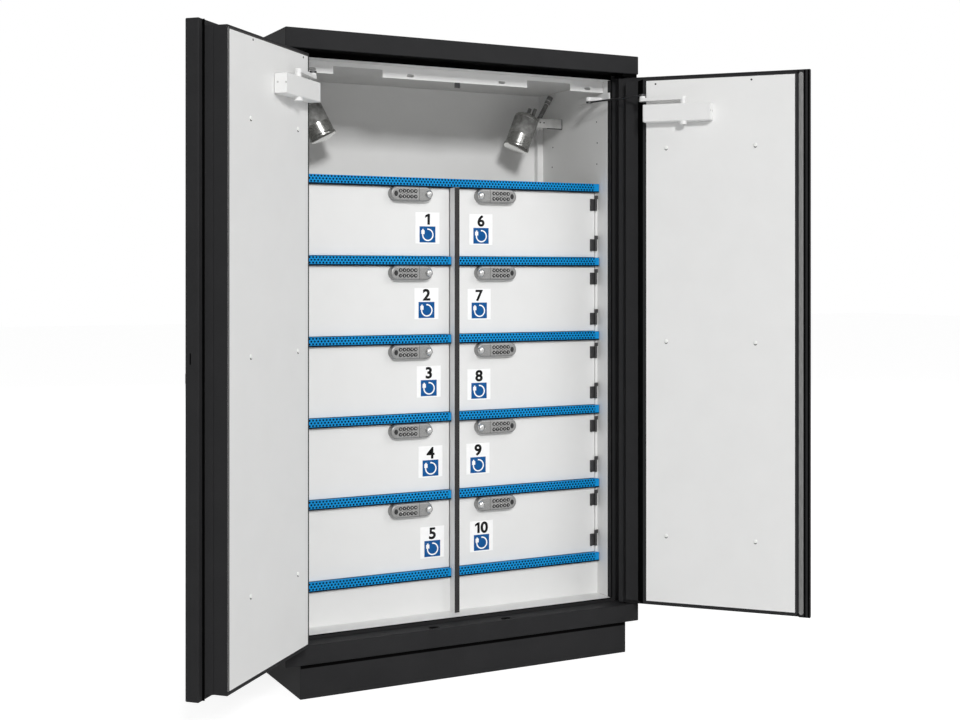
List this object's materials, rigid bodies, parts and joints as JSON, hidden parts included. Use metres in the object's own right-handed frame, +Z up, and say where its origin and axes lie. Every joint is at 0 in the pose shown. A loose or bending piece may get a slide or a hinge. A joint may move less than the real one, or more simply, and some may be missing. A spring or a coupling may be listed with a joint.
{
  "type": "battery storage cabinet",
  "caption": "Fire-resistant steel floor cabinet with two thick plug doors on closers, numbered lockable compartments behind blue shelves and extinguishers in the top space.",
  "frame": {"origin": "on the floor under the middle of the carcass", "axes": "+Z up, +X to the right seen from the front, +Y towards the back wall; stored with both main doors open as pictured"},
  "size_m": [1.9605, 1.0367, 1.9267],
  "materials": {
    "black_powder_coat": "fine-textured matt powder coat on sheet steel",
    "white_powder_coat": "satin powder coat on sheet steel",
    "blue_powder_coat": "satin powder coat on sheet steel",
    "dark_grey_powder_coat": "satin powder coat on steel section",
    "mineral_board": "raw pressed mineral fibre board",
    "stainless_steel": "turned and brushed",
    "grey_lock_enamel": "metallic grey enamel on a zinc casting",
    "grey_seal": "matt grey strip"
  },
  "bodies": {
    "cabinet": {"plinth": "black_powder_coat", "outer_left_side": "black_powder_coat", "outer_right_side": "black_powder_coat", "outer_back": "black_powder_coat", "roof_panel": "black_powder_coat", "base_panel": "black_powder_coat", "insulation": "mineral_board", "lining_left": "white_powder_coat", "lining_right": "white_powder_coat", "lining_back": "white_powder_coat", "lining_ceiling": "white_powder_coat", "ceiling_valance": "white_powder_coat", "shelf_1": "blue_powder_coat", "shelf_2": "blue_powder_coat", "shelf_3": "blue_powder_coat", "shelf_4": "blue_powder_coat", "shelf_5": "blue_powder_coat", "shelf_6": "blue_powder_coat", "centre_post": "dark_grey_powder_coat", "rack_frame": "white_powder_coat", "left_closer_shoe": "white_powder_coat", "left_extinguisher": "stainless_steel", "left_extinguisher_bracket": "white_powder_coat", "right_closer_shoe": "white_powder_coat", "right_extinguisher": "stainless_steel", "right_extinguisher_bracket": "white_powder_coat"},
    "left_door": {"left_door_shell": "black_powder_coat", "left_door_core": "mineral_board", "left_door_panel": "white_powder_coat", "left_closer_body": "white_powder_coat"},
    "left_closer_arm": {"left_closer_arm": "white_powder_coat"},
    "left_closer_rod": {"left_closer_rod": "stainless_steel"},
    "right_door": {"right_door_shell": "black_powder_coat", "right_door_core": "mineral_board", "right_door_panel": "white_powder_coat", "right_closer_body": "white_powder_coat", "right_door_seal": "grey_seal"},
    "right_closer_arm": {"right_closer_arm": "white_powder_coat"},
    "right_closer_rod": {"right_closer_rod": "stainless_steel"},
    "compartment_door_1": {"compartment_door_1": "white_powder_coat"},
    "lock_knob_1": {"lock_knob_1": "grey_lock_enamel"},
    "compartment_door_2": {"compartment_door_2": "white_powder_coat"},
    "lock_knob_2": {"lock_knob_2": "grey_lock_enamel"},
    "compartment_door_3": {"compartment_door_3": "white_powder_coat"},
    "lock_knob_3": {"lock_knob_3": "grey_lock_enamel"},
    "compartment_door_4": {"compartment_door_4": "white_powder_coat"},
    "lock_knob_4": {"lock_knob_4": "grey_lock_enamel"},
    "compartment_door_5": {"compartment_door_5": "white_powder_coat"},
    "lock_knob_5": {"lock_knob_5": "grey_lock_enamel"},
    "compartment_door_6": {"compartment_door_6": "white_powder_coat"},
    "lock_knob_6": {"lock_knob_6": "grey_lock_enamel"},
    "compartment_door_7": {"compartment_door_7": "white_powder_coat"},
    "lock_knob_7": {"lock_knob_7": "grey_lock_enamel"},
    "compartment_door_8": {"compartment_door_8": "white_powder_coat"},
    "lock_knob_8": {"lock_knob_8": "grey_lock_enamel"},
    "compartment_door_9": {"compartment_door_9": "white_powder_coat"},
    "lock_knob_9": {"lock_knob_9": "grey_lock_enamel"},
    "compartment_door_10": {"compartment_door_10": "white_powder_coat"},
    "lock_knob_10": {"lock_knob_10": "grey_lock_enamel"},
    "door_handle": {"door_handle": "black_powder_coat"}
  },
  "joints": [
    {"name": "left_door_swing", "type": "hinge", "parent": "cabinet", "child": "left_door", "pos_m": [-0.571, -0.279, 1], "axis": [0, 0, -1], "range_deg": [-135, 0]},
    {"name": "left_closer_arm_turn", "type": "hinge", "parent": "left_door", "child": "left_closer_arm", "pos_m": [-0.63514, -0.50478, 1.771], "axis": [0, 0, -1], "range_deg": [0, 135]},
    {"name": "left_closer_rod_turn", "type": "hinge", "parent": "cabinet", "child": "left_closer_rod", "pos_m": [-0.49, -0.175, 1.7858], "axis": [0, 0, -1], "range_deg": [-135, 0]},
    {"name": "right_door_swing", "type": "hinge", "parent": "cabinet", "child": "right_door", "pos_m": [0.571, -0.279, 1], "axis": [0, 0, 1], "range_deg": [-133, 2]},
    {"name": "right_closer_arm_turn", "type": "hinge", "parent": "right_door", "child": "right_closer_arm", "pos_m": [0.62722, -0.50688, 1.771], "axis": [0, 0, 1], "range_deg": [-2, 133]},
    {"name": "right_closer_rod_turn", "type": "hinge", "parent": "cabinet", "child": "right_closer_rod", "pos_m": [0.49, -0.175, 1.7858], "axis": [0, 0, 1], "range_deg": [-133, 2]},
    {"name": "compartment_door_1_swing", "type": "hinge", "parent": "cabinet", "child": "compartment_door_1", "pos_m": [-0.5265, -0.1565, 1.39777], "axis": [0, 0, -1], "range_deg": [0, 90]},
    {"name": "lock_knob_1_turn", "type": "hinge", "parent": "compartment_door_1", "child": "lock_knob_1", "pos_m": [-0.091, -0.151, 1.46835], "axis": [0, -1, 0], "range_deg": [0, 90]},
    {"name": "compartment_door_2_swing", "type": "hinge", "parent": "cabinet", "child": "compartment_door_2", "pos_m": [-0.5265, -0.1565, 1.15411], "axis": [0, 0, -1], "range_deg": [0, 90]},
    {"name": "lock_knob_2_turn", "type": "hinge", "parent": "compartment_door_2", "child": "lock_knob_2", "pos_m": [-0.091, -0.151, 1.22469], "axis": [0, -1, 0], "range_deg": [0, 90]},
    {"name": "compartment_door_3_swing", "type": "hinge", "parent": "cabinet", "child": "compartment_door_3", "pos_m": [-0.5265, -0.1565, 0.91045], "axis": [0, 0, -1], "range_deg": [0, 90]},
    {"name": "lock_knob_3_turn", "type": "hinge", "parent": "compartment_door_3", "child": "lock_knob_3", "pos_m": [-0.091, -0.151, 0.98103], "axis": [0, -1, 0], "range_deg": [0, 90]},
    {"name": "compartment_door_4_swing", "type": "hinge", "parent": "cabinet", "child": "compartment_door_4", "pos_m": [-0.5265, -0.1565, 0.66679], "axis": [0, 0, -1], "range_deg": [0, 90]},
    {"name": "lock_knob_4_turn", "type": "hinge", "parent": "compartment_door_4", "child": "lock_knob_4", "pos_m": [-0.091, -0.151, 0.73737], "axis": [0, -1, 0], "range_deg": [0, 90]},
    {"name": "compartment_door_5_swing", "type": "hinge", "parent": "cabinet", "child": "compartment_door_5", "pos_m": [-0.5265, -0.1565, 0.42313], "axis": [0, 0, -1], "range_deg": [0, 90]},
    {"name": "lock_knob_5_turn", "type": "hinge", "parent": "compartment_door_5", "child": "lock_knob_5", "pos_m": [-0.091, -0.151, 0.49371], "axis": [0, -1, 0], "range_deg": [0, 90]},
    {"name": "compartment_door_6_swing", "type": "hinge", "parent": "cabinet", "child": "compartment_door_6", "pos_m": [0.5265, -0.1565, 1.39777], "axis": [0, 0, 1], "range_deg": [0, 90]},
    {"name": "lock_knob_6_turn", "type": "hinge", "parent": "compartment_door_6", "child": "lock_knob_6", "pos_m": [0.091, -0.151, 1.46835], "axis": [0, 1, 0], "range_deg": [0, 90]},
    {"name": "compartment_door_7_swing", "type": "hinge", "parent": "cabinet", "child": "compartment_door_7", "pos_m": [0.5265, -0.1565, 1.15411], "axis": [0, 0, 1], "range_deg": [0, 90]},
    {"name": "lock_knob_7_turn", "type": "hinge", "parent": "compartment_door_7", "child": "lock_knob_7", "pos_m": [0.091, -0.151, 1.22469], "axis": [0, 1, 0], "range_deg": [0, 90]},
    {"name": "compartment_door_8_swing", "type": "hinge", "parent": "cabinet", "child": "compartment_door_8", "pos_m": [0.5265, -0.1565, 0.91045], "axis": [0, 0, 1], "range_deg": [0, 90]},
    {"name": "lock_knob_8_turn", "type": "hinge", "parent": "compartment_door_8", "child": "lock_knob_8", "pos_m": [0.091, -0.151, 0.98103], "axis": [0, 1, 0], "range_deg": [0, 90]},
    {"name": "compartment_door_9_swing", "type": "hinge", "parent": "cabinet", "child": "compartment_door_9", "pos_m": [0.5265, -0.1565, 0.66679], "axis": [0, 0, 1], "range_deg": [0, 90]},
    {"name": "lock_knob_9_turn", "type": "hinge", "parent": "compartment_door_9", "child": "lock_knob_9", "pos_m": [0.091, -0.151, 0.73737], "axis": [0, 1, 0], "range_deg": [0, 90]},
    {"name": "compartment_door_10_swing", "type": "hinge", "parent": "cabinet", "child": "compartment_door_10", "pos_m": [0.5265, -0.1565, 0.42313], "axis": [0, 0, 1], "range_deg": [0, 90]},
    {"name": "lock_knob_10_turn", "type": "hinge", "parent": "compartment_door_10", "child": "lock_knob_10", "pos_m": [0.091, -0.151, 0.49371], "axis": [0, 1, 0], "range_deg": [0, 90]},
    {"name": "door_handle_turn", "type": "hinge", "parent": "left_door", "child": "door_handle", "pos_m": [-0.93268, -0.61099, 0.955], "axis": [-0.7071, 0.7071, 0], "range_deg": [0, 60], "stiffness_Nm_per_rad": 2, "springref_deg": -22.92}
  ],
  "couplings": [
    {"joint": "left_closer_arm_turn", "follows": "left_door_swing", "ratio": -1},
    {"joint": "left_closer_rod_turn", "follows": "left_door_swing", "ratio": 1},
    {"joint": "right_closer_arm_turn", "follows": "right_door_swing", "ratio": -1},
    {"joint": "right_closer_rod_turn", "follows": "right_door_swing", "ratio": 1}
  ]
}
